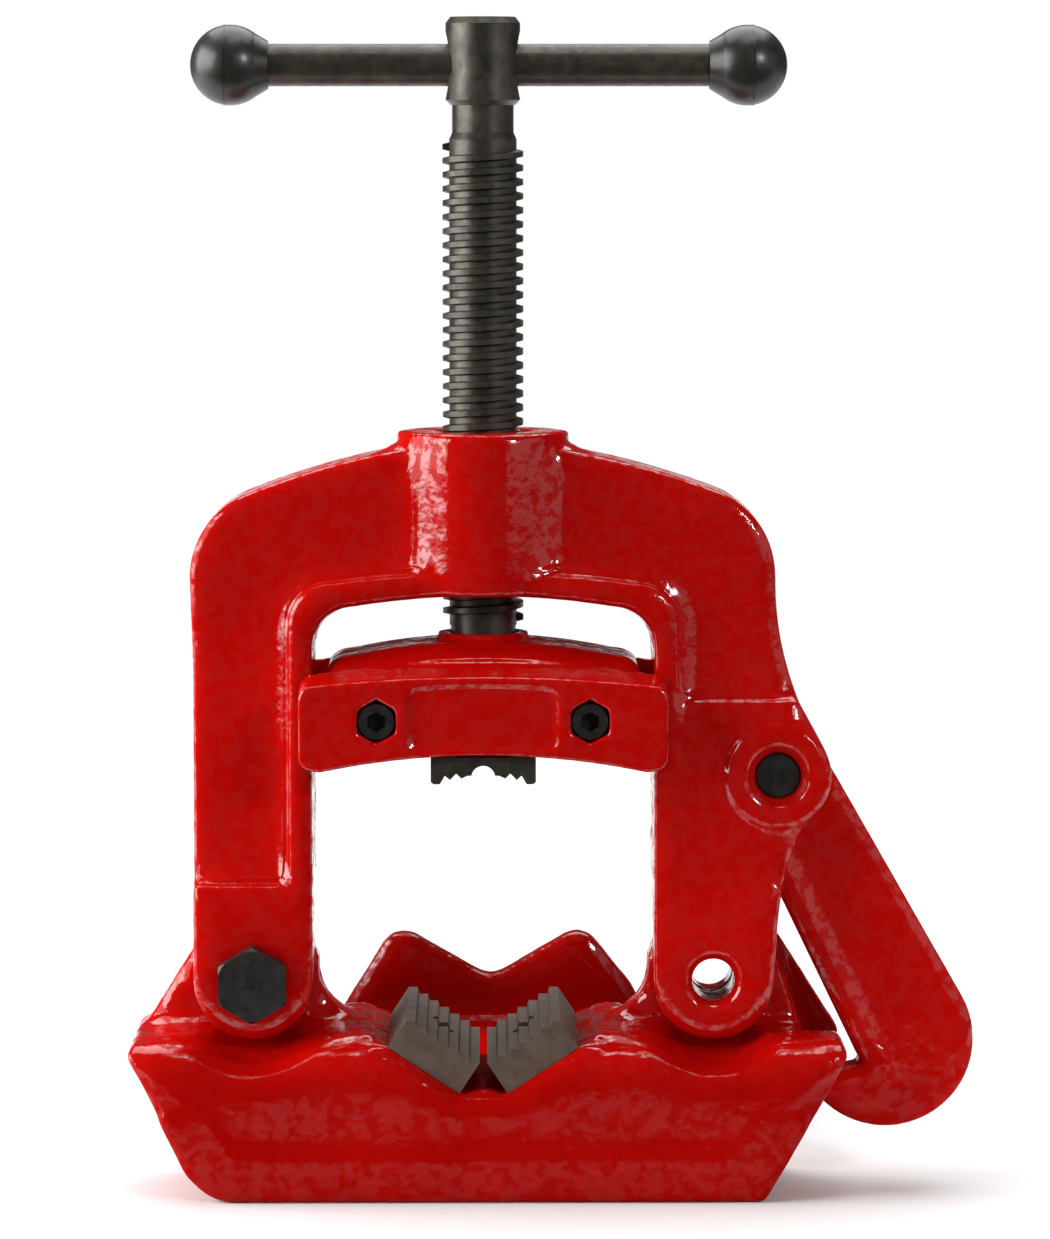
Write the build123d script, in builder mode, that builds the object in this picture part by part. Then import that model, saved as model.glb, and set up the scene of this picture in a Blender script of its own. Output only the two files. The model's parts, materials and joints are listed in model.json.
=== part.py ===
from build123d import *
import os
from math import cos, radians, sin, sqrt, tan

# Hinged-yoke pipe vice, in millimetres.
# X runs to the right, the front faces -Y, Z is up.
# The origin is where the clamp screw's axis meets the bench.

# Hinge line and hook line
PIVOT_X = 65.4
PIVOT_Z = 60.4
PIN_R = 6.0
PIN_FIT = 0.08
HOOK_X = 83.5
HOOK_Z = 118.9

# Yoke
YOKE_HALF = 21.0
WEB_HALF = 14.5
LUG_HALF = 19.0
LEG_R = 17.05
WINDOW_HALF = 48.4
WINDOW_TOP = 170.0
RIM = 6.8
LEDGE_Z = 88.0
LUG_LOW_Z = 87.4
LUG_HIGH_Z = 140.4
STEP_Z = 87.0
CHEEK_BACK = 1.0
BOSS_R = 24.5
BOSS_TOP = 216.0
SCREW_BORE_R = 11.9
HOOK_BOSS_R = 15.3
HOOK_BOSS_HALF = 21.5
PIN_HEAD_R = 6.7
PIN_HEAD = 3.0
PIN_HEAD_SUNK = 3.5
PIN_MOUTH_R = 8.2
COUNTERSINK = 2.6
SLOT_FRONT = -9.0
SLOT_BACK = 7.0
BASE_SLOT_PLAY = 0.5

# Base
HULL_FRONT = -38.0
HULL_BACK = 30.0
HULL_FOOT = 79.6
WING_LEFT = -100.8
WING_RIGHT = 103.2
WING_Z = 41.4
HULL_TOP = 45.0
HULL_ROUND = 8.5
SADDLE_HALF = 47.0
PANEL_TOP = 38.0
PANEL_DRAFT = 0.05
EAR_FRONT = 1.5
EAR_BACK = 16.2
EAR_R = 18.2
WING_BACK = 21.2
FLANK_LEFT = [(97.6, 38), (99.1, 41.4), (81.3, 70.2)]
FLANK_RIGHT = [(101.4, 38), (103.2, 41.4), (85.0, 70.2), (80, 75)]
PAD_X = 36.4
PAD_WIDE = 9.0
PAD_BACK = 28.0
PAD_TOP = 47.2
SCOOP_FRONT_R = 24.4
DECK_TOP = 24.0
DECK_HALF = 75.0
DECK_FRONT = 5.0
DECK_ROUND = 14.0
REST_FRONT = 131.0
REST_BACK = 143.0
REST_ROUND = 8.0
BENCH_HOLE_R = 5.5
BENCH_HOLE_X = 58.0
BENCH_HOLE_Y = (52.0, 116.0)
BENCH_SPOT_R = 11.0
BENCH_SPOT_DEPTH = 1.5
LUG_UNDER = 33.0
LUG_TIP = 91.5
HULL_POCKET_X = (6.0, 60.0)
HULL_POCKET_Y = (-27.0, 20.0)
HULL_POCKET_TOP = 16.0
DECK_POCKET_X = 44.0
DECK_POCKET_Y = (38.0, 123.0)
DECK_POCKET_TOP = 13.0
POCKET_ROUND = 8.0

# Lower jaws: blocks lying on the two slopes of the saddle
JAW_TOE = (6.8, 30.5)
JAW_SLOPE = 33.3
JAW_THICK = 10.4
JAW_FRONT = -33.0
JAW_BACK = 29.0
JAW_TEETH = 7
JAW_PITCH = 3.62
RISER_LEAN = 0.45
JAW_SCREW_AT = 12.0
JAW_SCREW_R = 2.0
JAW_SCREW_HEAD_R = 3.5
JAW_SCREW_SUNK = 5.6
JAW_SCREW_LONG = 17.0
JAW_KEY_HALF = 1.5
JAW_KEY_DEPTH = 2.2
SEAT_END = 28.4

# Clamp screw and handle
THREAD_R = 11.5
CORE_R = 9.6
PITCH = 4.0
THREAD_ROOT = 2.6
THREAD_CREST = 1.5
THREAD_LOW = 160.5
THREAD_HIGH = 298.5
SHANK_R = 9.3
NECK_R = 8.75
HEAD_R = 10.6
HEAD_LOW = 308.2
HEAD_HIGH = 333.1
DISH_R = 30.0
DISH_DEPTH = 1.6
BAR_Z = 319.5
BAR_R = 6.0
BAR_FIT = 0.1
BAR_SHIFT = 1.7
BALL_X = 73.2
BALL_R = 11.4
NECK_LONG = 10.7
NECK_MOUTH_R = 6.8
NECK_END = 7.0
SEAM_AT = 1.7
SEAM_WIDE = 0.5
SEAM_PROUD = 0.16

# Hook
HOOK_FRONT = -8.5
HOOK_BACK = 6.5
EYE_R = 14.3
HEEL = (115.5, 41.0)
HEEL_R = 25.3

# Crosshead
FLANGE_FRONT = -34.0
FLANGE_BACK = -21.6
FLANGE_HALF = 52.0
BODY_HALF = 44.2
BODY_SHOULDER = -13.0
COLLAR_R = 13.0
COLLAR_TOP = 158.6
CROSS_SCREW_X = 30.0
CROSS_SCREW_Z = 136.0
POCKET_AF = 10.8
POCKET_FLOOR = -27.5
CHAMBER_R = 9.7
LIP_R = 7.4
GROOVE_R = 6.9
CHAMBER_FLOOR = 135.0
LIP_LOW = 142.5
LIP_HIGH = 145.5
THRUST_R = 9.0
THRUST_THICK = 2.5
JAW_SEAT_Z = 125.6
SEAT_WIDE = 31.0
TONGUE_WIDE = 13.4
TONGUE_LONG = 35.0
TONGUE_HIGH = 5.0
TONGUE_PLAY = 0.6
UPPER_JAW_HALF = 14.8
UPPER_JAW_LONG = 60.0
JAW_PIN_Z = 128.0
JAW_PIN_R = 2.5
JAW_PIN_LONG = 39.0
CROSS_SCREW_R = 3.0
CROSS_SCREW_LONG = 60.0
CAP_R = 5.0
CAP_LONG = 5.8
CAP_KEY_HALF = 2.5
CAP_KEY_DEPTH = 3.0
BADGE_DEPTH = 1.2

# Fasteners: M12 for the two pivots, M6 for the crosshead
CORNER_BEVEL = 0.05
M12_AF = 19.0
M12_HEAD = 7.5
M12_NUT = 10.0
M12_WASHER_R = 12.0
M12_WASHER = 2.5
M12_PAST_SEAT = 15.0
HEAD_SEAT = -YOKE_HALF - 0.3
M6_AF = 10.0
M6_NUT = 5.0


def facing(y):
    """Plane at depth y that faces the front: local x is X and local y is Z."""
    return Plane.XZ.offset(-y)


def both(points, side):
    """Points of the right-hand side, or the same points mirrored to the left."""
    return [(side * x, z) for x, z in points]


# ---------------------------------------------------------------- yoke

def yoke_outline(plane):
    """Outside of the yoke from the pivots up, without its boss and rounded feet."""
    left = -LEG_R - PIVOT_X
    right = LEG_R + PIVOT_X
    with BuildSketch(plane) as face:
        with BuildLine():
            Polyline((left, PIVOT_Z), (left, 150), (-83.3, 176))
            ThreePointArc((-83.3, 176), (-78.2, 190), (-66, 199))
            ThreePointArc((-66, 199), (-45.6, 206), (-24, 211))
            Line((-24, 211), (24, 211))
            ThreePointArc((24, 211), (46, 206), (67, 199.2))
            ThreePointArc((67, 199.2), (78.4, 190), (83, 175))
            ThreePointArc((83, 175), (85, 155), (90, 139))
            Polyline((90, 139), (96.6, 127), (97.6, 112.8), (90.6, 103.6))
            ThreePointArc((90.6, 103.6), (86.4, 92.2), (83.8, 78))
            Polyline((83.8, 78), (right, PIVOT_Z), (left, PIVOT_Z))
        make_face()
    return face.sketch


def window(plane, grow=0.0):
    """The yoke's opening, or the outside of its rim when grown."""
    half = WINDOW_HALF + grow
    top = WINDOW_TOP + grow
    with BuildSketch(plane) as face:
        with BuildLine():
            Polyline((-half, top - 14.5), (-half, 30), (half, 30), (half, top - 14.5))
            ThreePointArc((half, top - 14.5), (half - 3.2, top - 6.6), (half - 11.4, top - 3))
            ThreePointArc((half - 11.4, top - 3), (0, top), (11.4 - half, top - 3))
            ThreePointArc((11.4 - half, top - 3), (3.2 - half, top - 6.6), (-half, top - 14.5))
        make_face()
    return face.sketch


def yoke_band(plane, x_low, x_high, z_low, z_high):
    """The part of the yoke's outline inside one rectangle."""
    with BuildSketch(plane) as face:
        add(yoke_outline(plane))
        with Locations(((x_low + x_high) / 2, (z_low + z_high) / 2)):
            Rectangle(x_high - x_low, z_high - z_low, mode=Mode.INTERSECT)
    return face.sketch


with BuildPart() as yoke_casting:
    # thin web, then the deep rim that frames the opening
    extrude(yoke_outline(facing(WEB_HALF)), amount=2 * WEB_HALF)
    with BuildSketch(facing(YOKE_HALF)):
        add(window(facing(YOKE_HALF), RIM))
        with Locations((0, PIVOT_Z + 100)):
            Rectangle(200, 200, mode=Mode.INTERSECT)
    extrude(amount=2 * YOKE_HALF)
    # deep lower legs, and the shallower panel that carries the hook boss
    extrude(yoke_band(facing(YOKE_HALF), -90, 0, PIVOT_Z, LEDGE_Z), amount=2 * YOKE_HALF)
    extrude(yoke_band(facing(YOKE_HALF), 0, 110, PIVOT_Z, LUG_LOW_Z), amount=2 * YOKE_HALF)
    extrude(yoke_band(facing(LUG_HALF), 0, 110, LUG_LOW_Z, LUG_HIGH_Z), amount=2 * LUG_HALF)
    with BuildSketch(facing(YOKE_HALF)):
        with Locations((-PIVOT_X, PIVOT_Z), (PIVOT_X, PIVOT_Z)):
            Circle(LEG_R)
    extrude(amount=2 * YOKE_HALF)
    # screw boss and hook boss
    with BuildSketch(Plane.XY.offset(WINDOW_TOP - 6)):
        Circle(BOSS_R)
    extrude(amount=BOSS_TOP - WINDOW_TOP + 6)
    with BuildSketch(facing(HOOK_BOSS_HALF)):
        with Locations((HOOK_X, HOOK_Z)):
            Circle(HOOK_BOSS_R)
    extrude(amount=2 * HOOK_BOSS_HALF)
    # the opening
    extrude(window(facing(40)), amount=80, mode=Mode.SUBTRACT)
    # half-lap: only the front half of each leg passes in front of its ear
    with BuildSketch(facing(40)):
        with Locations((0, STEP_Z / 2)):
            Rectangle(220, STEP_Z)
    extrude(amount=40 - CHEEK_BACK, mode=Mode.SUBTRACT)
    # slot for the hook
    with BuildSketch(facing(SLOT_BACK)):
        with BuildLine():
            Polyline((83.5, 68), (110, 68), (110, 134.8), (HOOK_X, 134.8))
            ThreePointArc((HOOK_X, 134.8), (HOOK_X - 15.9, HOOK_Z), (69.2, 112))
            Polyline((69.2, 112), (83.5, 68))
        make_face()
    extrude(amount=SLOT_BACK - SLOT_FRONT, mode=Mode.SUBTRACT)
    # bores: screw, two leg holes, hook pin
    with BuildSketch(Plane.XY.offset(150)):
        Circle(SCREW_BORE_R)
    extrude(amount=80, mode=Mode.SUBTRACT)
    with BuildSketch(facing(40)):
        with Locations((-PIVOT_X, PIVOT_Z), (PIVOT_X, PIVOT_Z)):
            Circle(PIN_R + PIN_FIT)
        with Locations((HOOK_X, HOOK_Z)):
            Circle(PIN_R)
    extrude(amount=80, mode=Mode.SUBTRACT)
    # stepped mouth over the sunken head of the hook pin, and the free hole's countersink
    for depth, radius in ((PIN_HEAD_SUNK + PIN_HEAD, PIN_HEAD_R + 0.1), (PIN_HEAD_SUNK, PIN_MOUTH_R)):
        with BuildSketch(facing(-HOOK_BOSS_HALF + depth)):
            with Locations((HOOK_X, HOOK_Z)):
                Circle(radius)
        extrude(amount=10, mode=Mode.SUBTRACT)
    with BuildSketch(facing(-YOKE_HALF)):
        with Locations((PIVOT_X, PIVOT_Z)):
            Circle(PIN_R + COUNTERSINK)
    extrude(amount=-COUNTERSINK, taper=45, mode=Mode.SUBTRACT)

# ---------------------------------------------------------------- lower jaws

def jaw_point(along, up):
    """A point of the right jaw's section, from its lower inner corner."""
    slope = radians(JAW_SLOPE)
    x = JAW_TOE[0] + along * cos(slope) - up * sin(slope)
    z = JAW_TOE[1] + along * sin(slope) + up * cos(slope)
    return x, z


def seat_z(x):
    """Height of the saddle's slope, on which a jaw lies, at one distance from the middle."""
    return JAW_TOE[1] + (x - JAW_TOE[0]) * tan(radians(JAW_SLOPE))


def jaw_plane(side):
    """Plane on the middle of a jaw's serrated face, facing out of it."""
    x, z = jaw_point(JAW_SCREW_AT, JAW_THICK)
    slope = radians(JAW_SLOPE)
    normal = (-side * sin(slope), 0, cos(slope))
    return Plane(origin=(side * x, (JAW_FRONT + JAW_BACK) / 2, z), x_dir=(0, 1, 0), z_dir=normal)


def jaw_section(side):
    """Section of a jaw: a block with stair-shaped teeth, level treads and nearly upright risers."""
    slope = radians(JAW_SLOPE)
    points = [jaw_point(0, 0)]
    for tooth in range(JAW_TEETH):
        crest_x, crest_z = jaw_point(tooth * JAW_PITCH, JAW_THICK)
        points.append((crest_x, crest_z))
        points.append((crest_x + JAW_PITCH * cos(slope) - RISER_LEAN, crest_z))
    end_x, end_z = points[-1]
    along = (end_x - JAW_TOE[0]) * cos(slope) + (end_z - JAW_TOE[1]) * sin(slope)
    points.append(jaw_point(along, 0))
    return both(points + points[:1], side)


def lower_jaw(side):
    """One serrated block with a counterbored hole through its face."""
    with BuildPart() as jaw:
        with BuildSketch(facing(JAW_BACK)):
            with BuildLine():
                Polyline(*jaw_section(side))
            make_face()
        extrude(amount=JAW_BACK - JAW_FRONT)
        with Locations(jaw_plane(side)):
            CounterBoreHole(radius=JAW_SCREW_R + 0.2, counter_bore_radius=JAW_SCREW_HEAD_R + 0.2,
                            counter_bore_depth=JAW_SCREW_SUNK)
    return jaw.part


def lower_jaw_screw(side):
    """Cap screw that holds a jaw down, with a hexagonal key hole."""
    seat = jaw_plane(side).offset(-JAW_SCREW_SUNK)
    with BuildPart() as screw:
        with BuildSketch(seat):
            Circle(JAW_SCREW_HEAD_R)
        extrude(amount=2 * JAW_SCREW_R)
        with BuildSketch(seat):
            Circle(JAW_SCREW_R)
        extrude(amount=-JAW_SCREW_LONG)
        with BuildSketch(seat.offset(2 * JAW_SCREW_R)):
            RegularPolygon(JAW_KEY_HALF, 6, major_radius=False)
        extrude(amount=-JAW_KEY_DEPTH, mode=Mode.SUBTRACT)
    return screw.part


# ---------------------------------------------------------------- base


def hull_outline(plane):
    """Front of the base below its scoops: splayed sides and one rounded bottom corner."""
    with BuildSketch(plane) as face:
        with BuildLine():
            Polyline((-HULL_FOOT + 6, 0), (HULL_FOOT, 0), (WING_RIGHT, WING_Z), (WING_RIGHT - 2.2, HULL_TOP),
                     (WING_LEFT + 2.2, HULL_TOP), (WING_LEFT, WING_Z), (-86.2, 12.2))
            ThreePointArc((-86.2, 12.2), (-81.6, 4.9), (-HULL_FOOT + 6, 0))
        make_face()
    return face.sketch


def ear_outline(plane, side, flank):
    """One ear with its straight outer flank and the concave inner side."""
    with BuildSketch(plane) as face:
        with BuildLine():
            Polyline(*both([(37.5, 46), (37.5, 38)] + flank + [(PIVOT_X, PIVOT_Z + 10),
                            (PIVOT_X - EAR_R, PIVOT_Z + 4), (PIVOT_X - EAR_R, PIVOT_Z)], side))
            ThreePointArc(*both([(PIVOT_X - EAR_R, PIVOT_Z), (45.6, 54.2), (41.2, 49.3)], side))
            Line(*both([(41.2, 49.3), (37.5, 46)], side))
        make_face()
        with Locations((side * PIVOT_X, PIVOT_Z)):
            Circle(EAR_R)
    return face.sketch


with BuildPart() as base_casting:
    # hull, its upper front edge rounded
    extrude(hull_outline(facing(WING_BACK)), amount=WING_BACK - HULL_FRONT)
    with BuildSketch(Plane.YZ.offset(-120)):
        with BuildLine():
            Polyline((HULL_FRONT + HULL_ROUND, HULL_TOP), (WING_BACK, HULL_TOP), (WING_BACK, 0),
                     (HULL_FRONT, 0), (HULL_FRONT, HULL_TOP - HULL_ROUND))
            RadiusArc((HULL_FRONT, HULL_TOP - HULL_ROUND), (HULL_FRONT + HULL_ROUND, HULL_TOP), HULL_ROUND)
        make_face()
    extrude(amount=240, mode=Mode.INTERSECT)
    # middle of the hull, which reaches further back under the jaws
    with BuildSketch(facing(HULL_BACK)):
        with Locations((0, HULL_TOP / 2)):
            Rectangle(2 * SADDLE_HALF, HULL_TOP)
    extrude(amount=HULL_BACK)
    extrude(ear_outline(facing(EAR_BACK), -1, FLANK_LEFT), amount=EAR_BACK - EAR_FRONT)
    extrude(ear_outline(facing(EAR_BACK), 1, FLANK_RIGHT), amount=EAR_BACK - EAR_FRONT)
    # low pads between the ears and the outer ends of the jaws
    with BuildSketch(facing(PAD_BACK)):
        with Locations((-PAD_X, PAD_TOP - 3.6), (PAD_X, PAD_TOP - 3.6)):
            Rectangle(PAD_WIDE, 7.2)
    extrude(amount=2 * PAD_BACK)
    # scoops under the swinging feet of the yoke, opening wider to the front
    for side in (-1, 1):
        with BuildSketch(facing(EAR_FRONT)):
            with Locations((side * PIVOT_X, PIVOT_Z)):
                Circle(EAR_R + 0.2)
        with BuildSketch(facing(HULL_FRONT)):
            with Locations((side * PIVOT_X, PIVOT_Z)):
                Circle(SCOOP_FRONT_R)
        loft(mode=Mode.SUBTRACT)
    # saddle with its centre ridge
    with BuildSketch(facing(40)):
        with BuildLine():
            Polyline((SEAT_END, 70), (SEAT_END, seat_z(SEAT_END)), (5.6, seat_z(5.6)), (3, 31.5), (-3, 31.5),
                     (-5.6, seat_z(5.6)), (-SEAT_END, seat_z(SEAT_END)), (-SEAT_END, 70), (SEAT_END, 70))
        make_face()
    extrude(amount=80, mode=Mode.SUBTRACT)
    # rear deck and the M-shaped pipe rest that ends it
    with BuildSketch(Plane.XY):
        with Locations((0, (DECK_FRONT + REST_BACK) / 2)):
            RectangleRounded(2 * DECK_HALF, REST_BACK - DECK_FRONT, DECK_ROUND)
    extrude(amount=DECK_TOP)
    with BuildSketch(facing(REST_BACK)):
        with BuildLine():
            Polyline((-48.7, 20), (53.1, 20), (46.6, 34.5), (31.1, 54.2), (2.3, 37.2), (-27.5, 54.5),
                     (-41.5, 31.7), (-48.7, 20))
        make_face()
        fillet(vertices().group_by(Axis.Y)[-1] + vertices().group_by(Axis.Y)[-2]
               + vertices().group_by(Axis.Y)[-3], REST_ROUND)
    extrude(amount=REST_BACK - REST_FRONT)
    # panel in the front face, deepest at its foot and running out at its top
    with BuildSketch(Plane(origin=(0, HULL_FRONT, PANEL_TOP), x_dir=(1, 0, 0), z_dir=(0, -1, -PANEL_DRAFT))):
        with BuildLine():
            Polyline((-69.5, -24), (69.5, -24), (84, 0), (-84, 0), (-69.5, -24))
        make_face()
    extrude(amount=10, mode=Mode.SUBTRACT)
    # slot in the right wing for the hook, with the lug that its toe goes under
    with BuildSketch(facing(SLOT_BACK + BASE_SLOT_PLAY)):
        with BuildLine():
            Polyline((83, 72), (LUG_TIP, 44), (LUG_TIP, LUG_UNDER), (76, LUG_UNDER), (72, LUG_UNDER - 4),
                     (68, -5), (120, -5), (120, 72), (83, 72))
        make_face()
    extrude(amount=SLOT_BACK - SLOT_FRONT + 2 * BASE_SLOT_PLAY, mode=Mode.SUBTRACT)
    # pivot bores
    with BuildSketch(facing(60)):
        with Locations((-PIVOT_X, PIVOT_Z), (PIVOT_X, PIVOT_Z)):
            Circle(PIN_R + PIN_FIT)
    extrude(amount=60 - EAR_FRONT + 1, mode=Mode.SUBTRACT)
    # tapped holes for the jaw screws
    for side in (-1, 1):
        with BuildSketch(jaw_plane(side).offset(-JAW_SCREW_SUNK)):
            Circle(JAW_SCREW_R)
        extrude(amount=-JAW_SCREW_LONG - 1, mode=Mode.SUBTRACT)
    # hollow underside: two pockets in the front hull with a rib between them, one under the deck
    pocket_x = (HULL_POCKET_X[0] + HULL_POCKET_X[1]) / 2
    pocket_y = (HULL_POCKET_Y[0] + HULL_POCKET_Y[1]) / 2
    with BuildSketch(Plane.XY):
        with Locations((-pocket_x, pocket_y), (pocket_x, pocket_y)):
            RectangleRounded(HULL_POCKET_X[1] - HULL_POCKET_X[0], HULL_POCKET_Y[1] - HULL_POCKET_Y[0],
                             POCKET_ROUND)
    extrude(amount=HULL_POCKET_TOP, mode=Mode.SUBTRACT)
    with BuildSketch(Plane.XY):
        with Locations((0, (DECK_POCKET_Y[0] + DECK_POCKET_Y[1]) / 2)):
            RectangleRounded(2 * DECK_POCKET_X, DECK_POCKET_Y[1] - DECK_POCKET_Y[0], POCKET_ROUND)
    extrude(amount=DECK_POCKET_TOP, mode=Mode.SUBTRACT)
    # bench bolt holes with spot faces
    bench_holes = [(side * BENCH_HOLE_X, y, DECK_TOP) for side in (-1, 1) for y in BENCH_HOLE_Y]
    with Locations(*bench_holes):
        CounterBoreHole(radius=BENCH_HOLE_R, counter_bore_radius=BENCH_SPOT_R,
                        counter_bore_depth=BENCH_SPOT_DEPTH)


# ---------------------------------------------------------------- fasteners

def hexagon(plane, flats, height, bore=0.0):
    """A hexagon with two corners up and down and its outer corners bevelled, bored if it is a nut."""
    with BuildPart() as block:
        with BuildSketch(plane):
            Circle(flats / sqrt(3))
        extrude(amount=height)
        chamfer(edges().filter_by(GeomType.CIRCLE).sort_by(Axis(plane.origin, plane.z_dir))[-1],
                CORNER_BEVEL * flats)
        with BuildSketch(plane):
            RegularPolygon(flats / 2, 6, major_radius=False, rotation=30)
        extrude(amount=height, mode=Mode.INTERSECT)
        if bore:
            with BuildSketch(plane):
                Circle(bore)
            extrude(amount=height, mode=Mode.SUBTRACT)
    return block.part


def rod(plane, radius, length):
    """A round rod from a plane, its far end bevelled."""
    with BuildPart() as shank:
        with BuildSketch(plane):
            Circle(radius)
        extrude(amount=length)
        chamfer(edges().filter_by(GeomType.CIRCLE).sort_by(Axis(plane.origin, plane.z_dir))[-1], 1.0)
    return shank.part


def washer(plane, outer, inner, thickness):
    with BuildPart() as ring:
        with BuildSketch(plane):
            Circle(outer)
            Circle(inner, mode=Mode.SUBTRACT)
        extrude(amount=thickness)
    return ring.part


def ahead(x, y, z):
    """Plane at a point, facing the front."""
    return Plane(origin=(x, y, z), x_dir=(1, 0, 0), z_dir=(0, -1, 0))


def behind(x, y, z):
    """Plane at a point, facing the rear."""
    return Plane(origin=(x, y, z), x_dir=(-1, 0, 0), z_dir=(0, 1, 0))


with BuildPart() as hinge_bolt:
    add(hexagon(ahead(-PIVOT_X, HEAD_SEAT, PIVOT_Z), M12_AF, M12_HEAD))
    add(rod(behind(-PIVOT_X, HEAD_SEAT, PIVOT_Z), PIN_R, EAR_BACK + M12_PAST_SEAT - HEAD_SEAT))

with BuildPart() as hinge_washer:
    add(washer(behind(-PIVOT_X, EAR_BACK, PIVOT_Z), M12_WASHER_R, PIN_R + 0.5, M12_WASHER))

with BuildPart() as hinge_nut:
    add(hexagon(behind(-PIVOT_X, EAR_BACK + M12_WASHER, PIVOT_Z), M12_AF, M12_NUT, PIN_R))

with BuildPart() as hook_pin:
    with BuildSketch(behind(HOOK_X, -HOOK_BOSS_HALF + PIN_HEAD_SUNK, HOOK_Z)):
        Circle(PIN_R)
    extrude(amount=2 * HOOK_BOSS_HALF - PIN_HEAD_SUNK + M12_PAST_SEAT)
    with BuildSketch(behind(HOOK_X, -HOOK_BOSS_HALF + PIN_HEAD_SUNK, HOOK_Z)):
        Circle(PIN_HEAD_R)
    extrude(amount=PIN_HEAD)
    chamfer(edges().filter_by(GeomType.CIRCLE).group_by(Axis.Y)[0], 0.8)
    chamfer(edges().filter_by(GeomType.CIRCLE).group_by(Axis.Y)[-1], 1.0)

with BuildPart() as hook_pin_washer:
    add(washer(behind(HOOK_X, HOOK_BOSS_HALF, HOOK_Z), M12_WASHER_R, PIN_R + 0.5, M12_WASHER))

with BuildPart() as hook_pin_nut:
    add(hexagon(behind(HOOK_X, HOOK_BOSS_HALF + M12_WASHER, HOOK_Z), M12_AF, M12_NUT, PIN_R))

# ---------------------------------------------------------------- hook

def hook_outline(plane):
    """Side of the hook: eye, leaning shank, round heel and the toe that reaches under the lug."""
    with BuildSketch(plane) as face:
        with BuildLine():
            Polyline((70.6, 112.6), (106.5, 38.2))
            ThreePointArc((106.5, 38.2), (108.4, 35.6), (111, 34.4))
            Polyline((111, 34.4), (94.6, 32), (93.2, 30.6), (93.2, 28), (97.6, 23.1))
            ThreePointArc((97.6, 23.1), (HEEL[0], HEEL[1] - HEEL_R), (137.4, 53.7))
            Polyline((137.4, 53.7), (95.9, 126.1), (70.6, 112.6))
        make_face()
        with Locations((HOOK_X, HOOK_Z)):
            Circle(EYE_R)
    return face.sketch


with BuildPart() as hook_casting:
    extrude(hook_outline(facing(HOOK_BACK)), amount=HOOK_BACK - HOOK_FRONT)
    # both sides sink outward of a rim that follows the inner edge, the throat and the toe
    for face_y, depth in ((HOOK_FRONT, -3), (HOOK_BACK, 3)):
        with BuildSketch(facing(face_y)):
            with BuildLine():
                Polyline((81.7, 105.3), (112.8, 40.7))
                ThreePointArc((112.8, 40.7), (117.2, 33.2), (110.5, 27.8))
                Polyline((110.5, 27.8), (90, 25), (90, 5), (150, 5), (150, 60), (104, 130), (96, 112))
                ThreePointArc((96, 112), (90.5, 106), (81.7, 105.3))
            make_face()
        extrude(amount=depth, mode=Mode.SUBTRACT)
    with BuildSketch(facing(HOOK_BACK)):
        with Locations((HOOK_X, HOOK_Z)):
            Circle(PIN_R + PIN_FIT)
    extrude(amount=HOOK_BACK - HOOK_FRONT, mode=Mode.SUBTRACT)

# ---------------------------------------------------------------- crosshead

def flange_outline(plane, rise):
    """The curved front plate of the crosshead, its top lifted where it meets the body."""
    half = FLANGE_HALF
    with BuildSketch(plane) as face:
        with BuildLine():
            ThreePointArc((-half, 145.5 + rise), (0, 148.6 + rise), (half, 145.5 + rise))
            Line((half, 145.5 + rise), (half, 122.5))
            Line((half, 122.5), (46, 121.6))
            ThreePointArc((46, 121.6), (0, 126.4), (-46, 121.6))
            Line((-46, 121.6), (-half, 122.5))
            Line((-half, 122.5), (-half, 145.5 + rise))
        make_face()
        fillet(vertices().group_by(Axis.X)[0], 4.0)
        fillet(vertices().group_by(Axis.X)[-1], 4.0)
    return face.sketch


def crosshead_body(plane, drop):
    """Section of the crosshead's body between the yoke's rims, its arched top lowered by a drop."""
    with BuildSketch(plane) as face:
        with BuildLine():
            Line((-BODY_HALF, 122.6), (-BODY_HALF, 149.6 - drop))
            ThreePointArc((-BODY_HALF, 149.6 - drop), (-41.5, 151.9 - drop), (-37.5, 152.8 - drop))
            ThreePointArc((-37.5, 152.8 - drop), (0, 156.8 - drop), (37.5, 152.8 - drop))
            ThreePointArc((37.5, 152.8 - drop), (41.5, 151.9 - drop), (BODY_HALF, 149.6 - drop))
            Line((BODY_HALF, 149.6 - drop), (BODY_HALF, 122.6))
            ThreePointArc((BODY_HALF, 122.6), (0, 126.4), (-BODY_HALF, 122.6))
        make_face()
    return face.sketch


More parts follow.
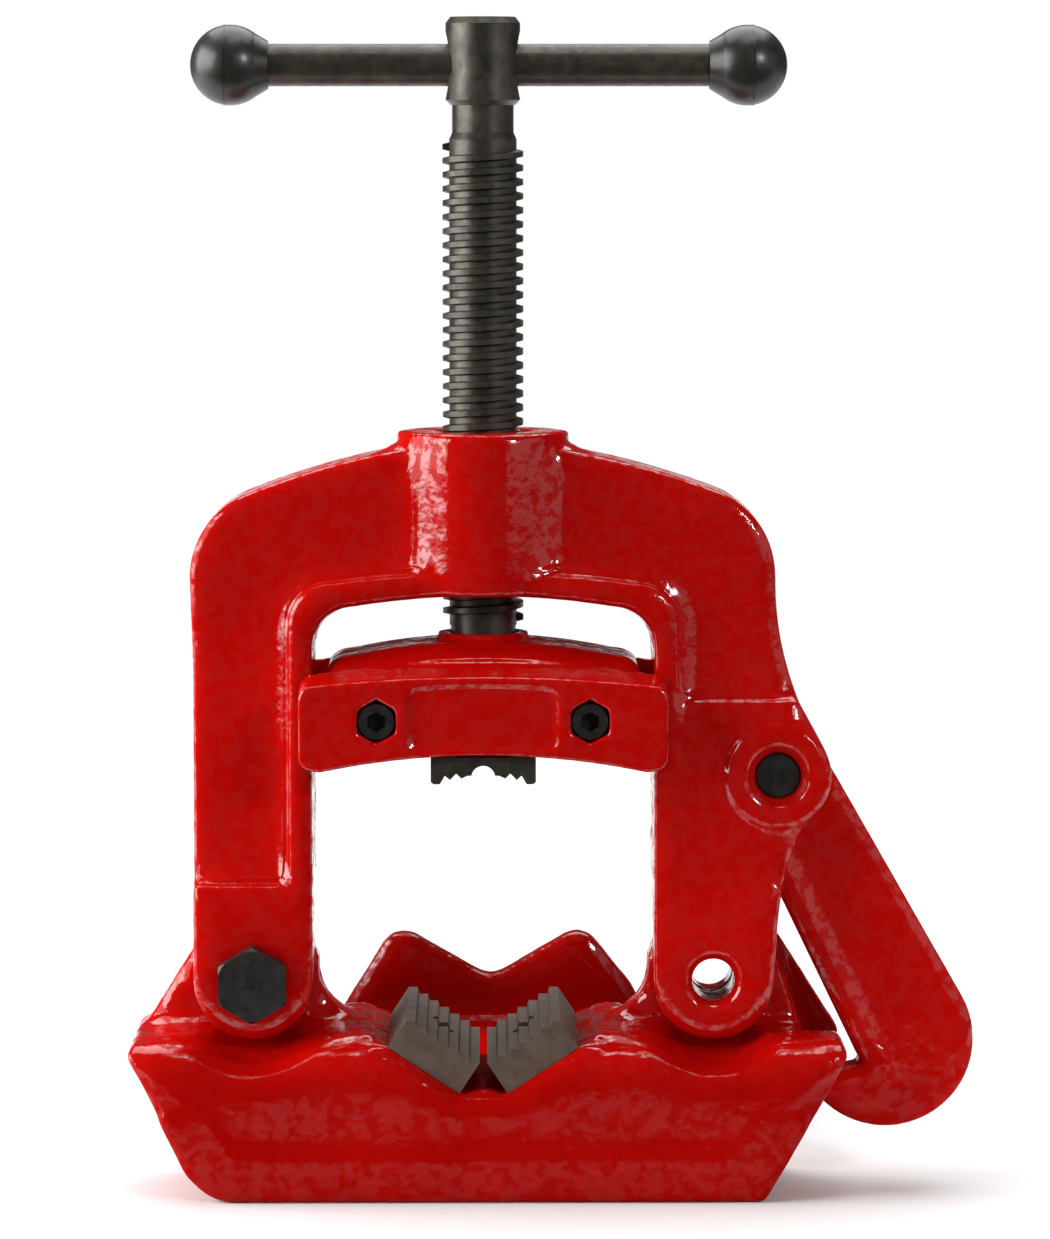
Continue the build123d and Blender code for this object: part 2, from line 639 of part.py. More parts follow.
with BuildPart() as crosshead_front:
    # plate in front of the yoke's rims
    with BuildSketch(facing(FLANGE_BACK)):
        add(flange_outline(facing(FLANGE_BACK), 2.6))
    with BuildSketch(facing(FLANGE_FRONT)):
        add(flange_outline(facing(FLANGE_FRONT), 0))
    loft()
    # body that slides between the rims, up to the joint face on the screw axis
    extrude(crosshead_body(facing(0), 0), amount=-BODY_SHOULDER)
    with BuildSketch(facing(BODY_SHOULDER)):
        add(crosshead_body(facing(BODY_SHOULDER), 0))
    with BuildSketch(facing(FLANGE_BACK)):
        add(crosshead_body(facing(FLANGE_BACK), 4))
    loft()
    # low collar round the screw
    with BuildSketch(Plane.XY.offset(150)):
        Circle(COLLAR_R)
        with Locations((0, COLLAR_R)):
            Rectangle(2 * COLLAR_R, 2 * COLLAR_R, mode=Mode.SUBTRACT)
    extrude(amount=COLLAR_TOP - 150)
    # chamber that grips the grooved end of the screw
    with BuildSketch(Plane.XY.offset(CHAMBER_FLOOR)):
        Circle(CHAMBER_R)
    extrude(amount=LIP_LOW - CHAMBER_FLOOR, mode=Mode.SUBTRACT)
    with BuildSketch(Plane.XY.offset(LIP_LOW)):
        Circle(LIP_R)
    extrude(amount=LIP_HIGH - LIP_LOW, mode=Mode.SUBTRACT)
    with BuildSketch(Plane.XY.offset(LIP_HIGH)):
        Circle(CHAMBER_R)
    extrude(amount=20, mode=Mode.SUBTRACT)
    # flat seat and slot for the upper jaw and its tongue
    with BuildSketch(Plane.XY.offset(JAW_SEAT_Z)):
        Rectangle(SEAT_WIDE, -2 * FLANGE_FRONT + 2)
    extrude(amount=-10, mode=Mode.SUBTRACT)
    with BuildSketch(Plane.XY.offset(JAW_SEAT_Z + TONGUE_HIGH + TONGUE_PLAY)):
        Rectangle(TONGUE_WIDE + TONGUE_PLAY, TONGUE_LONG + 2 * TONGUE_PLAY)
    extrude(amount=-10, mode=Mode.SUBTRACT)
    # through bores, and hexagonal pockets for the screw heads
    with BuildSketch(facing(0)):
        with Locations((0, JAW_PIN_Z)):
            Circle(JAW_PIN_R)
    extrude(amount=20, mode=Mode.SUBTRACT)
    with BuildSketch(facing(0)):
        with Locations((-CROSS_SCREW_X, CROSS_SCREW_Z), (CROSS_SCREW_X, CROSS_SCREW_Z)):
            Circle(CROSS_SCREW_R)
    extrude(amount=40, mode=Mode.SUBTRACT)
    with BuildSketch(facing(POCKET_FLOOR)):
        with Locations((-CROSS_SCREW_X, CROSS_SCREW_Z), (CROSS_SCREW_X, CROSS_SCREW_Z)):
            RegularPolygon(POCKET_AF / 2, 6, major_radius=False, rotation=30)
    extrude(amount=20, mode=Mode.SUBTRACT)
    # blank sunken panel between the pockets
    with BuildSketch(facing(FLANGE_FRONT + BADGE_DEPTH)):
        with BuildLine():
            ThreePointArc((-21, 145.2), (0, 146.2), (21, 145.2))
            Line((21, 145.2), (21, 127.6))
            ThreePointArc((21, 127.6), (0, 128.6), (-21, 127.6))
            Line((-21, 127.6), (-21, 145.2))
        make_face()
        fillet(vertices(), 3.0)
    extrude(amount=5, mode=Mode.SUBTRACT)

with BuildPart() as crosshead_rear:
    add(crosshead_front.part.rotate(Axis.Z, 180))

with BuildPart() as crosshead_screws:
    for side in (-1, 1):
        with BuildSketch(ahead(side * CROSS_SCREW_X, POCKET_FLOOR, CROSS_SCREW_Z)):
            Circle(CAP_R)
        extrude(amount=CAP_LONG)
        add(rod(behind(side * CROSS_SCREW_X, POCKET_FLOOR, CROSS_SCREW_Z), CROSS_SCREW_R, CROSS_SCREW_LONG))
        with BuildSketch(ahead(side * CROSS_SCREW_X, POCKET_FLOOR - CAP_LONG + CAP_KEY_DEPTH, CROSS_SCREW_Z)):
            RegularPolygon(CAP_KEY_HALF, 6, major_radius=False, rotation=30)
        extrude(amount=2 * CAP_KEY_DEPTH, mode=Mode.SUBTRACT)

with BuildPart() as crosshead_nuts:
    for side in (-1, 1):
        add(hexagon(behind(side * CROSS_SCREW_X, -POCKET_FLOOR, CROSS_SCREW_Z), M6_AF, M6_NUT, CROSS_SCREW_R))

# ---------------------------------------------------------------- upper jaw

upper_teeth = [(UPPER_JAW_HALF, JAW_SEAT_Z), (UPPER_JAW_HALF, 118.6), (UPPER_JAW_HALF - 0.8, 118),
               (12.2, 118), (10.8, 120.4), (9.4, 119.2), (7.6, 121), (6.2, 119.6), (4.4, 120.4), (3.3, 120.4)]

with BuildPart() as upper_jaw:
    with BuildSketch(facing(UPPER_JAW_LONG / 2)):
        with BuildLine():
            Polyline(*both(upper_teeth, 1))
            ThreePointArc((3.3, 120.4), (0, 123.2), (-3.3, 120.4))
            Polyline(*both(upper_teeth, -1))
            Line((-UPPER_JAW_HALF, JAW_SEAT_Z), (UPPER_JAW_HALF, JAW_SEAT_Z))
        make_face()
    extrude(amount=UPPER_JAW_LONG)
    with BuildSketch(Plane.XY.offset(JAW_SEAT_Z)):
        Rectangle(TONGUE_WIDE, TONGUE_LONG)
    extrude(amount=TONGUE_HIGH)
    with BuildSketch(facing(UPPER_JAW_LONG / 2)):
        with Locations((0, JAW_PIN_Z)):
            Circle(JAW_PIN_R)
    extrude(amount=UPPER_JAW_LONG, mode=Mode.SUBTRACT)

with BuildPart() as upper_jaw_pin:
    with BuildSketch(facing(JAW_PIN_LONG / 2)):
        with Locations((0, JAW_PIN_Z)):
            Circle(JAW_PIN_R)
    extrude(amount=JAW_PIN_LONG)

with BuildPart() as thrust_washer:
    with BuildSketch(Plane.XY.offset(CHAMBER_FLOOR)):
        Circle(THRUST_R)
    extrude(amount=THRUST_THICK)

# ---------------------------------------------------------------- clamp screw

with BuildPart() as clamp_screw:
    # turned blank: grooved end, core, neck and head
    with BuildSketch(Plane.XZ):
        with BuildLine():
            Polyline((0, 137.8), (SHANK_R - 0.8, 137.8), (SHANK_R, 138.6), (SHANK_R, 142), (GROOVE_R, 142),
                     (GROOVE_R, 146), (SHANK_R, 146), (SHANK_R, THREAD_LOW), (CORE_R, THREAD_LOW),
                     (CORE_R, THREAD_HIGH), (NECK_R, THREAD_HIGH + 2), (NECK_R, HEAD_LOW),
                     (HEAD_R - 1.5, HEAD_LOW), (HEAD_R, HEAD_LOW + 1.5), (HEAD_R, HEAD_HIGH - 1.8),
                     (HEAD_R - 1.4, HEAD_HIGH), (0, HEAD_HIGH), (0, 137.8))
        make_face()
    revolve(axis=Axis.Z)
    # shallow dish round each end of the cross hole
    with Locations(*[(side * (HEAD_R - DISH_DEPTH + DISH_R), 0, BAR_Z) for side in (-1, 1)]):
        Sphere(radius=DISH_R, mode=Mode.SUBTRACT)
    # single right-hand trapezoidal thread
    with BuildLine() as thread_path:
        Helix(pitch=PITCH, height=THREAD_HIGH - THREAD_LOW - PITCH, radius=CORE_R,
              center=(0, 0, THREAD_LOW + PITCH / 2))
    with BuildSketch(Plane(origin=(CORE_R, 0, THREAD_LOW + PITCH / 2), x_dir=(1, 0, 0), z_dir=(0, -1, 0))):
        with BuildLine():
            Polyline((-0.3, -THREAD_ROOT / 2), (THREAD_R - CORE_R, -THREAD_CREST / 2),
                     (THREAD_R - CORE_R, THREAD_CREST / 2), (-0.3, THREAD_ROOT / 2), (-0.3, -THREAD_ROOT / 2))
        make_face()
    sweep(path=thread_path.wires()[0], is_frenet=True)
    # cross hole for the tommy bar
    with BuildSketch(Plane.YZ.offset(-20)):
        with Locations((0, BAR_Z)):
            Circle(BAR_R + BAR_FIT)
    extrude(amount=40, mode=Mode.SUBTRACT)

with BuildPart() as tommy_bar:
    with BuildSketch(Plane.YZ.offset(BAR_SHIFT - BALL_X + 2)):
        with Locations((0, BAR_Z)):
            Circle(BAR_R)
    extrude(amount=2 * BALL_X - 4)


def ball_knob(side):
    """Moulded ball with a short conical neck and a blind hole for the bar."""
    middle = BAR_SHIFT + side * BALL_X
    mouth = middle - side * NECK_LONG
    tangent = (middle - side * NECK_END, BAR_Z + sqrt(BALL_R ** 2 - NECK_END ** 2))
    seam = middle + side * SEAM_AT
    seam_r = sqrt(BALL_R ** 2 - SEAM_AT ** 2) + SEAM_PROUD
    with BuildPart() as knob:
        with BuildSketch(Plane.XZ):
            with BuildLine():
                Polyline((mouth, BAR_Z), (mouth, BAR_Z + NECK_MOUTH_R), tangent)
                ThreePointArc(tangent, (middle, BAR_Z + BALL_R), (middle + side * BALL_R, BAR_Z))
                Line((middle + side * BALL_R, BAR_Z), (mouth, BAR_Z))
            make_face()
        revolve(axis=Axis((0, 0, BAR_Z), (1, 0, 0)))
        # thin seam left by the mould
        with BuildSketch(Plane(origin=(seam - SEAM_WIDE / 2, 0, BAR_Z), x_dir=(0, 1, 0), z_dir=(1, 0, 0))):
            Circle(seam_r)
        extrude(amount=SEAM_WIDE)
        with BuildSketch(Plane(origin=(mouth, 0, BAR_Z), x_dir=(0, 1, 0), z_dir=(side, 0, 0))):
            Circle(BAR_R)
        extrude(amount=NECK_LONG - 2, mode=Mode.SUBTRACT)
    return knob.part


# ---------------------------------------------------------------- files

pieces = {
    "base_casting": base_casting.part,
    "lower_jaw_left": lower_jaw(-1),
    "lower_jaw_right": lower_jaw(1),
    "lower_jaw_screw_left": lower_jaw_screw(-1),
    "lower_jaw_screw_right": lower_jaw_screw(1),
    "hinge_bolt": hinge_bolt.part,
    "hinge_washer": hinge_washer.part,
    "hinge_nut": hinge_nut.part,
    "yoke_casting": yoke_casting.part,
    "hook_pin": hook_pin.part,
    "hook_pin_washer": hook_pin_washer.part,
    "hook_pin_nut": hook_pin_nut.part,
    "hook_casting": hook_casting.part,
    "crosshead_front": crosshead_front.part,
    "crosshead_rear": crosshead_rear.part,
    "crosshead_screws": crosshead_screws.part,
    "crosshead_nuts": crosshead_nuts.part,
    "upper_jaw": upper_jaw.part,
    "upper_jaw_pin": upper_jaw_pin.part,
    "thrust_washer": thrust_washer.part,
    "clamp_screw": clamp_screw.part,
    "tommy_bar": tommy_bar.part,
    "ball_knob_left": ball_knob(-1),
    "ball_knob_right": ball_knob(1),
}

os.makedirs("parts", exist_ok=True)
for name, piece in pieces.items():
    piece.label = name
    export_step(piece, f"parts/{name}.step")
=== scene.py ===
"""A hinged-yoke pipe vice in a small studio.

The machined pieces are the CAD nodes in their finishes. Five castings are replaced by cast skins.
Lengths are in metres in the CAD's frame: +X right, -Y out of the front, +Z up the clamp screw.
"""
import json
import math

import bpy
import numpy as np
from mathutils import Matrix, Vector, noise

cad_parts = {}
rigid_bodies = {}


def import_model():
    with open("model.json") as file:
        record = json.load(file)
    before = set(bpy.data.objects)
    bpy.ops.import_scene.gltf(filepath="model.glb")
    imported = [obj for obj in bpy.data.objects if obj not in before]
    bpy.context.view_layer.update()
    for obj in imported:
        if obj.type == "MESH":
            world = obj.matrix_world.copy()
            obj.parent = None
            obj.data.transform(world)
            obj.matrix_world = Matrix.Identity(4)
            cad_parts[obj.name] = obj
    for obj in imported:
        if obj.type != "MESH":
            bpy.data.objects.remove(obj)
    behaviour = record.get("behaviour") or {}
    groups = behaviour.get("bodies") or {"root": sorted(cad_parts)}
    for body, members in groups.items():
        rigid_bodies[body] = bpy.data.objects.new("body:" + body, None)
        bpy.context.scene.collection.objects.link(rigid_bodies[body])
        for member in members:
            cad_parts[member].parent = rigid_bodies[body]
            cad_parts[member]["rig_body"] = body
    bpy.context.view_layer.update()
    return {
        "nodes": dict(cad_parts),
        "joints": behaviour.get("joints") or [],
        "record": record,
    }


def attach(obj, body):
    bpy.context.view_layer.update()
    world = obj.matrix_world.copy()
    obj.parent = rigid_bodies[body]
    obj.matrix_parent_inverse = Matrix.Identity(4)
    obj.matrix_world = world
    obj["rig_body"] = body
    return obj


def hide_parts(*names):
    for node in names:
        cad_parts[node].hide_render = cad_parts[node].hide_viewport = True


MM = 0.001
X, Y, Z = range(3)

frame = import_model()
cad = frame["nodes"]
joint_at = {joint["name"]: Vector(joint.get("pos_m", (0, 0, 0))) for joint in frame["joints"]}
hinge = joint_at["yoke_swing"]
free_hinge = Vector((-hinge.x, 0, hinge.z))
hook_pivot = joint_at["hook_swing"]
screw_axis = Vector((0, 0, 0))

PIN_BORE = 6.08 * MM
HOOK_BORE = 6.0 * MM
SCREW_BORE = 11.9 * MM
CHAMBER_BORE = 9.7 * MM

FASTENERS = ("hinge_bolt", "hinge_nut", "hinge_washer", "hook_pin", "hook_pin_nut", "hook_pin_washer",
             "crosshead_screws", "crosshead_nuts")


# ---------------------------------------------------------------- camera, lights, floor

def place_camera():
    """A long lens in front of the vice and a little above it, turned slightly to the right."""
    look_down, look_right = 5.2, 0.44
    data = bpy.data.cameras.new("camera")
    data.sensor_fit = "HORIZONTAL"
    data.sensor_width = 36
    data.lens = 187.5
    data.clip_end = 50
    camera = bpy.data.objects.new("camera", data)
    bpy.context.scene.collection.objects.link(camera)
    camera.location = (0.0, -1.557, 0.3035)
    camera.rotation_euler = (math.radians(90 - look_down), 0, math.radians(-look_right))
    bpy.context.scene.camera = camera


def area_light(name, place, aim, width, height, glow):
    """A rectangular light of one surface brightness, where 1 looks as bright as white paper."""
    data = bpy.data.lights.new(name, "AREA")
    data.shape = "RECTANGLE"
    data.size = width
    data.size_y = height
    data.energy = glow * math.pi * width * height
    light = bpy.data.objects.new(name, data)
    bpy.context.scene.collection.objects.link(light)
    light.location = place
    light.rotation_euler = (Vector(aim) - Vector(place)).to_track_quat("-Z", "Y").to_euler()


def studio():
    """A soft box at the left, a small bright lamp and a dim panel at the right, and two lights above."""
    middle = (0, 0, 0.16)
    area_light("left_box", (-1.25, -0.25, 0.57), middle, width=1.45, height=1.0, glow=7.6)
    area_light("right_lamp", (1.0, -1.15, 0.85), middle, width=0.22, height=0.22, glow=60)
    area_light("right_panel", (1.3, -0.75, 0.50), middle, width=1.8, height=0.9, glow=0.5)
    area_light("overhead", (0.1, -0.25, 1.5), middle, width=0.5, height=0.25, glow=6)
    area_light("floor_wash", (0, 1.15, 1.8), (0, 1.15, 0), width=2.2, height=2.4, glow=3.3)
    surround()
    bpy.context.scene.view_settings.view_transform = "Standard"


def surround():
    """A dim room with a low white backdrop straight behind the vice."""
    dim, white = 0.07, 1.02
    world = bpy.data.worlds.new("surround")
    world.use_nodes = True
    tree = world.node_tree
    where = tree.nodes.new("ShaderNodeTexCoord")
    split = tree.nodes.new("ShaderNodeSeparateXYZ")
    tree.links.new(where.outputs["Generated"], split.inputs["Vector"])
    towards_back = between(tree, split.outputs["Y"], 0.0, 1.0, 0.90, 0.96)
    low_down = between(tree, split.outputs["Z"], 1.0, 0.0, 0.026, 0.036)
    backdrop = times(tree, towards_back, low_down)
    colour = ramp(tree, backdrop, [(0.0, (dim, dim, dim)), (1.0, (white, white, white))])
    tree.links.new(colour, tree.nodes["Background"].inputs["Color"])
    bpy.context.scene.world = world


def lay_floor():
    """A sheet of white paper that ends a little in front of the vice."""
    side, front, back = 2.5, -0.17, 1.5
    corners = [(-side, front, 0), (side, front, 0), (side, back, 0), (-side, back, 0)]
    data = bpy.data.meshes.new("floor")
    data.from_pydata(corners, [], [(0, 1, 2, 3)])
    floor = bpy.data.objects.new("floor", data)
    bpy.context.scene.collection.objects.link(floor)
    floor.location.z = -0.2 * MM
    paper, _, _ = new_finish("floor_paper", (0.86, 0.86, 0.86), 0.7)
    data.materials.append(paper)


# ---------------------------------------------------------------- parts of a finish

def new_finish(name, colour, roughness, metallic=0.0):
    """A material, its shader and its node tree."""
    finish = bpy.data.materials.new(name)
    finish.use_nodes = True
    shader = finish.node_tree.nodes["Principled BSDF"]
    shader.inputs["Base Color"].default_value = (*colour, 1)
    shader.inputs["Roughness"].default_value = roughness
    shader.inputs["Metallic"].default_value = metallic
    return finish, shader, finish.node_tree


def grain(tree, scale, detail=2.0, rough=0.5, stretch=(1, 1, 1)):
    """A noise texture fixed to the piece, with its scale in features per metre."""
    where = tree.nodes.new("ShaderNodeTexCoord")
    mapping = tree.nodes.new("ShaderNodeMapping")
    mapping.inputs["Scale"].default_value = stretch
    texture = tree.nodes.new("ShaderNodeTexNoise")
    texture.inputs["Scale"].default_value = scale
    texture.inputs["Detail"].default_value = detail
    texture.inputs["Roughness"].default_value = rough
    tree.links.new(where.outputs["Object"], mapping.inputs["Vector"])
    tree.links.new(mapping.outputs["Vector"], texture.inputs["Vector"])
    return texture.outputs["Fac"]


def along(tree, axis):
    """A piece's own coordinate along one axis, in metres."""
    where = tree.nodes.new("ShaderNodeTexCoord")
    apart = tree.nodes.new("ShaderNodeSeparateXYZ")
    tree.links.new(where.outputs["Object"], apart.inputs["Vector"])
    return apart.outputs[axis]


def ramp(tree, value, stops):
    """Colours laid along a 0 to 1 value."""
    node = tree.nodes.new("ShaderNodeValToRGB")
    band = node.color_ramp
    while len(band.elements) < len(stops):
        band.elements.new(0.5)
    for element, (place, colour) in zip(band.elements, stops):
        element.position = place
        element.color = (*colour, 1)
    tree.links.new(value, node.inputs["Fac"])
    return node.outputs["Color"]


def between(tree, value, low, high, from_low=0.0, from_high=1.0):
    """A value rescaled to a new range."""
    node = tree.nodes.new("ShaderNodeMapRange")
    node.inputs["From Min"].default_value = from_low
    node.inputs["From Max"].default_value = from_high
    node.inputs["To Min"].default_value = low
    node.inputs["To Max"].default_value = high
    tree.links.new(value, node.inputs["Value"])
    return node.outputs["Result"]


def times(tree, one, other):
    """The product of two values."""
    node = tree.nodes.new("ShaderNodeMath")
    node.operation = "MULTIPLY"
    tree.links.new(one, node.inputs[0])
    tree.links.new(other, node.inputs[1])
    return node.outputs["Value"]


def scaled(tree, colour, amount):
    """A colour made darker or paler by a value."""
    node = tree.nodes.new("ShaderNodeVectorMath")
    node.operation = "SCALE"
    tree.links.new(colour, node.inputs[0])
    tree.links.new(amount, node.inputs["Scale"])
    return node.outputs["Vector"]


def bump(tree, height, depth, strength=1.0, below=None, amount=None):
    """A bump of a real depth in metres, on top of another bump if one is given."""
    node = tree.nodes.new("ShaderNodeBump")
    node.inputs["Distance"].default_value = depth
    node.inputs["Strength"].default_value = strength
    tree.links.new(height, node.inputs["Height"])
    if amount is not None:
        tree.links.new(amount, node.inputs["Strength"])
    if below is not None:
        tree.links.new(below, node.inputs["Normal"])
    return node.outputs["Normal"]


# ---------------------------------------------------------------- finishes

def red_enamel(name, low=1.0, rear=1.0):
    """Glossy red enamel over a sand casting's ripples and pits, with its gloss broken into flakes.

    low and rear are how dark the painted shade makes the colour near the bench and behind the deck.
    It stands in for shade that the bright floor would otherwise fill. The gloss fades near the bench on
    every casting.
    """
    deep, bright = (0.42, 0.0018, 0.0008), (0.48, 0.0028, 0.0013)
    finish, shader, tree = new_finish(name, (0.43, 0.0022, 0.0010), 0.5)
    colour = ramp(tree, grain(tree, 45, 3), [(0.3, deep), (0.7, bright)])
    # Painted shade: the colour darkens towards the bench and behind the deck, standing in for shade
    shade_near_bench = between(tree, along(tree, "Z"), low, 1.0, 0.032, 0.046)
    shade_behind_deck = between(tree, along(tree, "Y"), 1.0, rear, 0.10, 0.12)
    shade = times(tree, shade_near_bench, shade_behind_deck)
    tree.links.new(scaled(tree, colour, shade), shader.inputs["Base Color"])
    ripple = bump(tree, grain(tree, 130, 2), 0.3 * MM, 0.5)
    pitted = between(tree, grain(tree, 38, 2), 0.2, 0.8, 0.4, 0.65)
    pits = bump(tree, grain(tree, 460, 4, 0.6), 0.2 * MM, below=ripple, amount=pitted)
    tree.links.new(pits, shader.inputs["Normal"])
    tree.links.new(pits, shader.inputs["Coat Normal"])
    flakes = between(tree, grain(tree, 260, 5, 0.66), 0.2, 1.0, 0.46, 0.52)
    dulled = between(tree, along(tree, "Z"), 0.22, 1.0, 0.032, 0.044)
    tree.links.new(times(tree, flakes, dulled), shader.inputs["Coat Weight"])
    shader.inputs["Specular IOR Level"].default_value = 0.0
    shader.inputs["Coat Roughness"].default_value = 0.06
    shader.inputs["Coat IOR"].default_value = 1.6
    return finish


def black_oxide(name, dark, pale):
    """Oiled black steel with faint turning marks and brown patches."""
    finish, shader, tree = new_finish(name, dark, 0.38, 0.6)
    colour = ramp(tree, grain(tree, 160, 4, 0.6), [(0.3, dark), (0.7, pale)])
    tree.links.new(colour, shader.inputs["Base Color"])
    tree.links.new(between(tree, grain(tree, 420, 3), 0.28, 0.48, 0.3, 0.7), shader.inputs["Roughness"])
    tree.links.new(bump(tree, grain(tree, 900, 3, 0.6), 0.05 * MM, 0.6), shader.inputs["Normal"])
    return finish


def phosphated():
    """Matt grey-brown jaw steel with a fine ground grain."""
    dark, pale = (0.070, 0.048, 0.035), (0.115, 0.080, 0.060)
    finish, shader, tree = new_finish("phosphated_steel", (0.09, 0.06, 0.045), 0.6, 0.2)
    colour = ramp(tree, grain(tree, 200, 4, 0.6), [(0.3, dark), (0.7, pale)])
    tree.links.new(colour, shader.inputs["Base Color"])
    ground = grain(tree, 500, 3, 0.6, stretch=(1, 0.15, 1))
    tree.links.new(bump(tree, ground, 0.05 * MM, 0.7), shader.inputs["Normal"])
    shader.inputs["Specular IOR Level"].default_value = 0.3
    return finish


def moulded_black():
    """Black phenolic: a soft sheen with a faint flow grain."""
    finish, shader, tree = new_finish("moulded_black", (0.018, 0.017, 0.014), 0.33)
    tree.links.new(between(tree, grain(tree, 260, 3), 0.28, 0.38, 0.3, 0.7), shader.inputs["Roughness"])
    tree.links.new(bump(tree, grain(tree, 420, 2), 0.05 * MM, 0.5), shader.inputs["Normal"])
    return finish


def ground_steel():
    """Bright steel with fine rings around the screw's axis."""
    finish, shader, tree = new_finish("ground_steel", (0.5, 0.5, 0.5), 0.3, 1.0)
    ringed = grain(tree, 900, 2, 0.5, stretch=(1, 1, 6))
    tree.links.new(bump(tree, ringed, 0.02 * MM, 0.5), shader.inputs["Normal"])
    return finish


finishes = {
    "red_enamel": red_enamel("red_enamel"),
    # The base's enamel, with painted shade low down and behind the deck
    "painted_shade_enamel": red_enamel("painted_shade_enamel", low=0.72, rear=0.5),
    "black_steel": black_oxide("black_oxide", (0.034, 0.032, 0.027), (0.080, 0.069, 0.053)),
    "fastener_steel": black_oxide("blackened_fasteners", (0.020, 0.019, 0.018), (0.040, 0.036, 0.031)),
    "jaw_steel": phosphated(),
    "black_plastic": moulded_black(),
    "bright_steel": ground_steel(),
}


# ---------------------------------------------------------------- cast skins

def voxel_mesh(node, size):
    """A node's shape rebuilt from even cells, so that it can be smoothed evenly."""
    rough = bpy.data.objects.new(node + "_rough", cad[node].data.copy())
    bpy.context.scene.collection.objects.link(rough)
    cells = rough.modifiers.new("cells", "REMESH")
    cells.mode = "VOXEL"
    cells.voxel_size = size
    shape = bpy.data.meshes.new_from_object(rough.evaluated_get(bpy.context.evaluated_depsgraph_get()))
    bpy.data.objects.remove(rough)
    return shape


def read_rows(items, field, kind=np.float64, width=3):
    """One field of many mesh items as rows of numbers."""
    rows = np.empty(len(items) * width, kind)
    items.foreach_get(field, rows)
    return rows.reshape(-1, width)


def set_places(mesh, places):
    mesh.vertices.foreach_set("co", places.ravel())
    mesh.update()


def relaxed(places, ends, rounds, step=0.5):
    """Vertex places after rounds of moving each vertex towards the middle of its neighbours."""
    count = len(places)
    near = np.concatenate((ends[:, 1], ends[:, 0]))
    own = np.concatenate((ends[:, 0], ends[:, 1]))
    share = np.bincount(own, minlength=count).clip(1)
    moved = places.copy()
    for _ in range(rounds):
        middle = np.stack([np.bincount(own, moved[near, axis], count) for axis in (X, Y, Z)], 1)
        moved += step * (middle / share[:, None] - moved)
    return moved


def off_boxes(places, boxes, reach):
    """0 inside any of the boxes, rising to 1 a short way off them."""
    away = np.ones(len(places))
    for low, high in boxes:
        outside = np.maximum(np.array(low) - places, places - np.array(high)).clip(0)
        away = np.minimum(away, np.linalg.norm(outside, axis=1) / reach)
    return away


def freedom(places, boxes, posts, reach):
    """How far the skin may melt, from 0 inside boxes and round posts to 1 a short way off them."""
    free = off_boxes(places, boxes, reach)
    for centre, radius in posts:
        off = np.hypot(places[:, X] - centre.x, places[:, Z] - centre.z)
        free = np.minimum(free, (off - radius).clip(0) / reach)
    return free


def melted(skin, ends, rounds, crisp, posts, soft):
    """The skin with its steps in depth rounded and its outline seen from the front left as it is.

    Nothing moves in crisp boxes and round posts. In soft boxes it is rounded in every direction.
    """
    free = freedom(skin, crisp, posts, reach=2.5 * MM)
    move = (relaxed(skin, ends, rounds) - skin) * free[:, None]
    move[:, [X, Z]] *= 1 - off_boxes(skin, soft, reach=4 * MM)[:, None]
    return skin + move


def corners_filled(skin, ends, outward, rounds, sharp):
    """The skin raised wherever smoothing raises it, which rounds inner corners outside sharp boxes."""
    gain = ((relaxed(skin, ends, rounds) - skin) * outward).sum(1).clip(0)
    for low, high in sharp:
        inside = np.all((skin > np.array(low)) & (skin < np.array(high)), axis=1)
        gain[inside] = 0
    return skin + outward * gain[:, None]


def ripples(places, size, depth):
    """A gentle unevenness in depth, never outwards, with features of one size."""
    return np.array([depth * (0.5 + 0.5 * noise.noise(Vector(p) / size)) for p in places])


def bore(centre, axis, radius, low=-1, high=1):
    """A round hole along an axis, all the way through unless its ends are given."""
    return centre, axis, radius, low, high


def clear_bore(places, centre, axis, radius, low, high):
    """Vertices that strayed into a round bore go back to its wall."""
    others = [i for i in (X, Y, Z) if i != axis]
    offset = places[:, others] - np.array(centre)[others]
    reach = np.linalg.norm(offset, axis=1)
    inside = (reach < radius) & (places[:, axis] > low) & (places[:, axis] < high)
    scale = radius / np.maximum(reach, 1e-6)
    for i, other in enumerate(others):
        places[inside, other] = centre[other] + offset[inside, i] * scale[inside]


def add_piece(node, shape, finish):
    """A skin that rides on its node's body in the node's place."""
    shape.materials.clear()
    shape.materials.append(finishes[finish])
    shape.shade_smooth()
    piece = bpy.data.objects.new(node + "_cast", shape)
    bpy.context.scene.collection.objects.link(piece)
    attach(piece, cad[node]["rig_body"])
    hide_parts(node)


def casting(node, voxel, soften, fill, bores=(), sharp=(), melt=0, crisp=(), posts=(), soft=(),
            finish="red_enamel"):
    """A node's shape with cast edges: corners rounded, inner corners filled, the skin slightly uneven.

    soften, melt and fill are rounds of smoothing. Boxes are pairs of corners, and posts are centres
    and radii along Y.
    """
    shape = voxel_mesh(node, voxel)
    ends = read_rows(shape.edges, "vertices", np.int32, 2)
    skin = relaxed(read_rows(shape.vertices, "co"), ends, soften)
    if melt:
        skin = melted(skin, ends, melt, crisp, posts, soft)
    set_places(shape, skin)
    outward = read_rows(shape.vertices, "normal")
    skin = corners_filled(skin, ends, outward, fill, sharp)
    skin -= outward * ripples(skin, size=9 * MM, depth=0.08 * MM)[:, None]
    for hole in bores:
        clear_bore(skin, *hole)
    set_places(shape, skin)
    add_piece(node, shape, finish)


# ---------------------------------------------------------------- the five castings

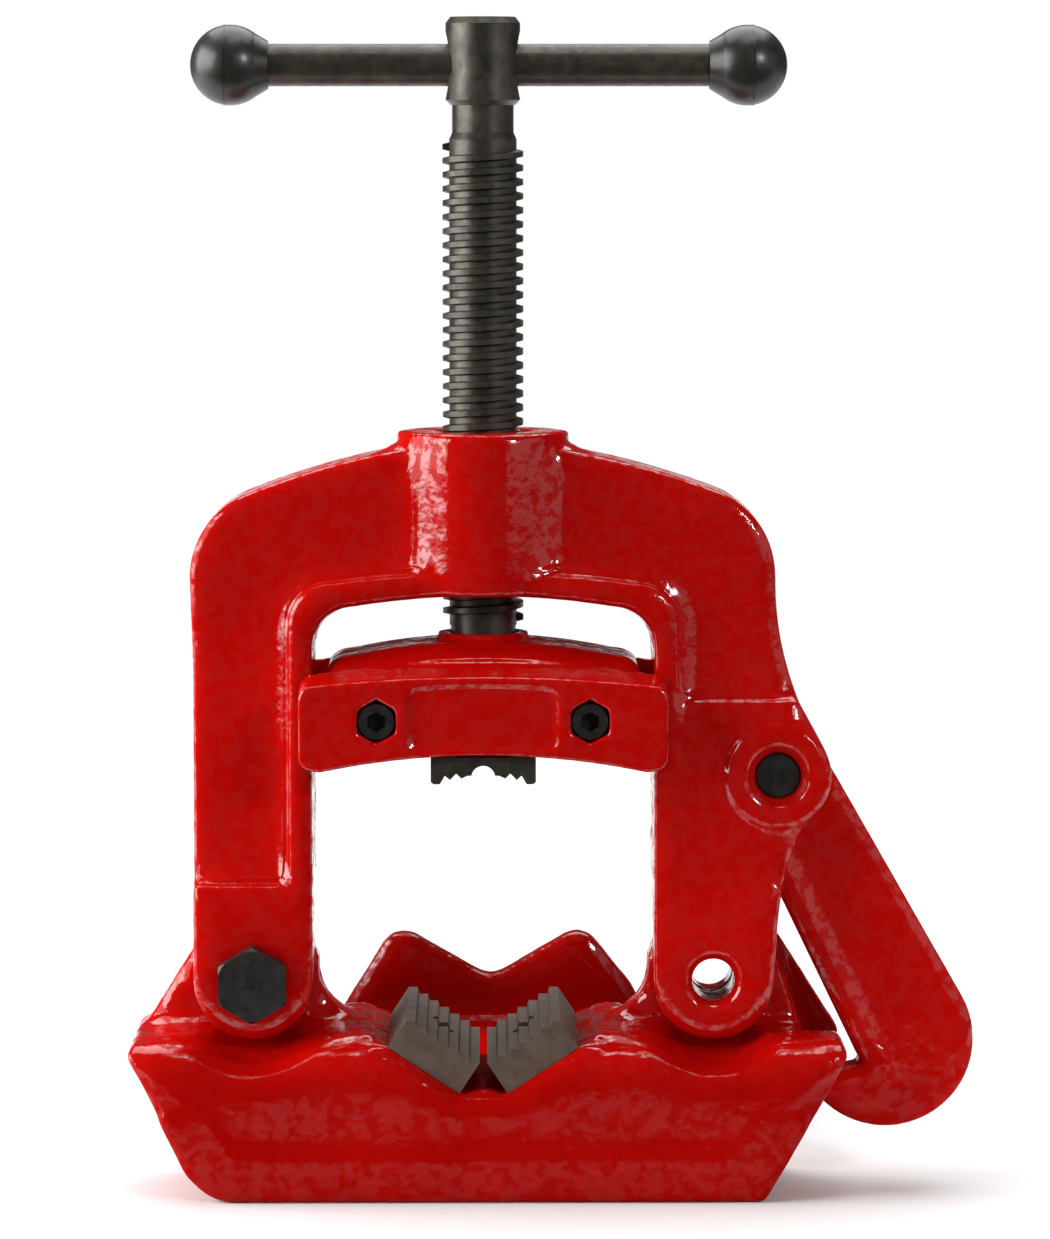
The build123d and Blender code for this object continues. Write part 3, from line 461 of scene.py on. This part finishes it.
def cast_base():
    """The jaw saddle, the hook's slot and the front panel stay crisp. The hull's top edge is soft."""
    saddle = ((-0.032, -0.033, 0.024), (0.032, 0.031, 0.056))
    lug_slot = ((0.064, -0.012, -0.01), (0.110, 0.010, 0.075))
    panel = ((-0.090, -0.045, 0.008), (0.090, -0.030, 0.024))
    front_edge = ((-0.096, -0.045, 0.026), (0.060, -0.004, 0.060))
    ear = 18.4 * MM
    casting("base_casting", 1.1 * MM, soften=6, fill=60, melt=60,
            bores=[bore(hinge, Y, PIN_BORE), bore(free_hinge, Y, PIN_BORE)],
            sharp=[saddle], crisp=[saddle, lug_slot, panel],
            posts=[(hinge, ear), (free_hinge, ear)], soft=[front_edge], finish="painted_shade_enamel")


def cast_yoke():
    """The slot that the hook swings in keeps its corners square, so that the hook clears them."""
    hook_slot = ((0.066, -0.0105, 0.066), (0.112, 0.0085, 0.136))
    casting("yoke_casting", 0.9 * MM, soften=9, fill=160, melt=60,
            bores=[bore(hinge, Y, PIN_BORE), bore(free_hinge, Y, PIN_BORE),
                   bore(hook_pivot, Y, HOOK_BORE), bore(screw_axis, Z, SCREW_BORE, 0.16, 0.3)],
            sharp=[hook_slot], crisp=[hook_slot],
            posts=[(hinge, 7 * MM), (free_hinge, 8 * MM), (hook_pivot, 14.2 * MM)])


def cast_hook():
    """The eye around the pivot pin stays flat."""
    casting("hook_casting", 0.8 * MM, soften=6, fill=30, melt=45,
            bores=[bore(hook_pivot, Y, PIN_BORE)], posts=[(hook_pivot, 15 * MM)])


def cast_crosshead():
    """The chamber for the screw's end stays open below and above its lip."""
    below_lip = bore(screw_axis, Z, CHAMBER_BORE, 0.1375, 0.1422)
    above_lip = bore(screw_axis, Z, CHAMBER_BORE, 0.1458, 0.1700)
    for half in ("crosshead_front", "crosshead_rear"):
        casting(half, 0.6 * MM, soften=4, fill=10, bores=[below_lip, above_lip])


def finish_machined_pieces():
    """Every node that isn't a casting gets its finish, and the fasteners get a blacker one."""
    for part in frame["record"]["subparts"]:
        slot = part["material_slot"]
        if slot == "red_enamel":
            continue
        finish = "fastener_steel" if part["node"] in FASTENERS else slot
        materials = cad[part["node"]].data.materials
        materials.clear()
        materials.append(finishes[finish])


place_camera()
studio()
lay_floor()
cast_base()
cast_yoke()
cast_hook()
cast_crosshead()
finish_machined_pieces()
